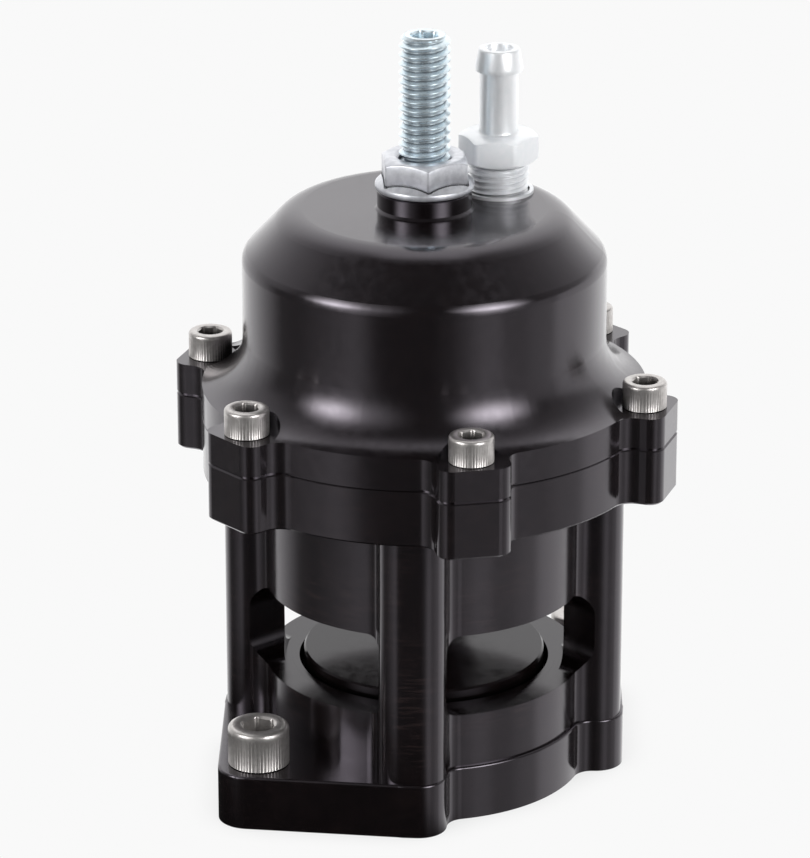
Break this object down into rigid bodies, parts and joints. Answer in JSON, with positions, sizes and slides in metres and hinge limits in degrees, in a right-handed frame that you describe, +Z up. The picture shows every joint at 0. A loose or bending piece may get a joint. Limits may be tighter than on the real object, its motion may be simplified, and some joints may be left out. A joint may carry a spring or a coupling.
{
  "type": "bypass valve",
  "caption": "Spring-loaded diaphragm bypass valve: lobed body with side outlet windows, bell cap on bolted ears, adjuster screw with lock nut, and a barbed vacuum fitting.",
  "frame": {"origin": "centre of the base face, on the valve's axis", "axes": "+Z up along the valve's axis, towards the adjuster screw; -Y towards the front lobe, +X to the right"},
  "size_m": [0.079, 0.079, 0.1194],
  "materials": {
    "black_anodised": "black anodised, semi-gloss",
    "disc_black": "black anodised, glossy",
    "plain_aluminium": "machined, satin",
    "fitting_aluminium": "frosted, bright",
    "stainless": "stainless, satin",
    "zinc_steel": "bright zinc plate",
    "spring_steel": "oiled spring wire",
    "bush_bronze": "sintered bronze",
    "black_rubber": "matt moulded rubber"
  },
  "bodies": {
    "housing": {"lower_body": "black_anodised", "bell_cap": "black_anodised", "base_ring_seal": "black_rubber", "stem_seal": "black_rubber", "diaphragm": "black_rubber", "stem_bush": "bush_bronze", "main_spring": "spring_steel", "lock_nut": "zinc_steel", "vacuum_fitting": "fitting_aluminium", "port_ring": "fitting_aluminium", "cap_screw_1": "stainless", "cap_screw_2": "stainless", "cap_screw_3": "stainless", "cap_screw_4": "stainless", "cap_screw_5": "stainless", "cap_screw_6": "stainless", "base_screw_1": "stainless", "base_screw_2": "stainless"},
    "valve": {"valve_disc": "disc_black", "face_seal": "black_rubber", "valve_screw": "stainless", "valve_stem": "stainless", "lower_plate": "plain_aluminium", "upper_plate": "plain_aluminium", "plate_nut": "zinc_steel"},
    "seat": {"spring_seat": "zinc_steel"},
    "adjuster": {"adjuster_stud": "zinc_steel"}
  },
  "joints": [
    {"name": "valve_lift", "type": "slide", "parent": "housing", "child": "valve", "axis": [0, 0, 1], "range_m": [0, 0.0095], "stiffness_N_per_m": 2700, "springref_m": -0.0015, "deforming": ["main_spring", "diaphragm"]},
    {"name": "adjuster_travel", "type": "slide", "parent": "housing", "child": "seat", "axis": [0, 0, 1], "range_m": [-0.0025, 0.0025]},
    {"name": "adjuster_turn", "type": "hinge", "parent": "seat", "child": "adjuster", "pos_m": [0, 0, 0.1], "axis": [0, 0, 1], "range_deg": [-639, 639]}
  ],
  "couplings": [
    {"joint": "adjuster_turn", "follows": "adjuster_travel", "rad_per_m": 4452.7}
  ]
}
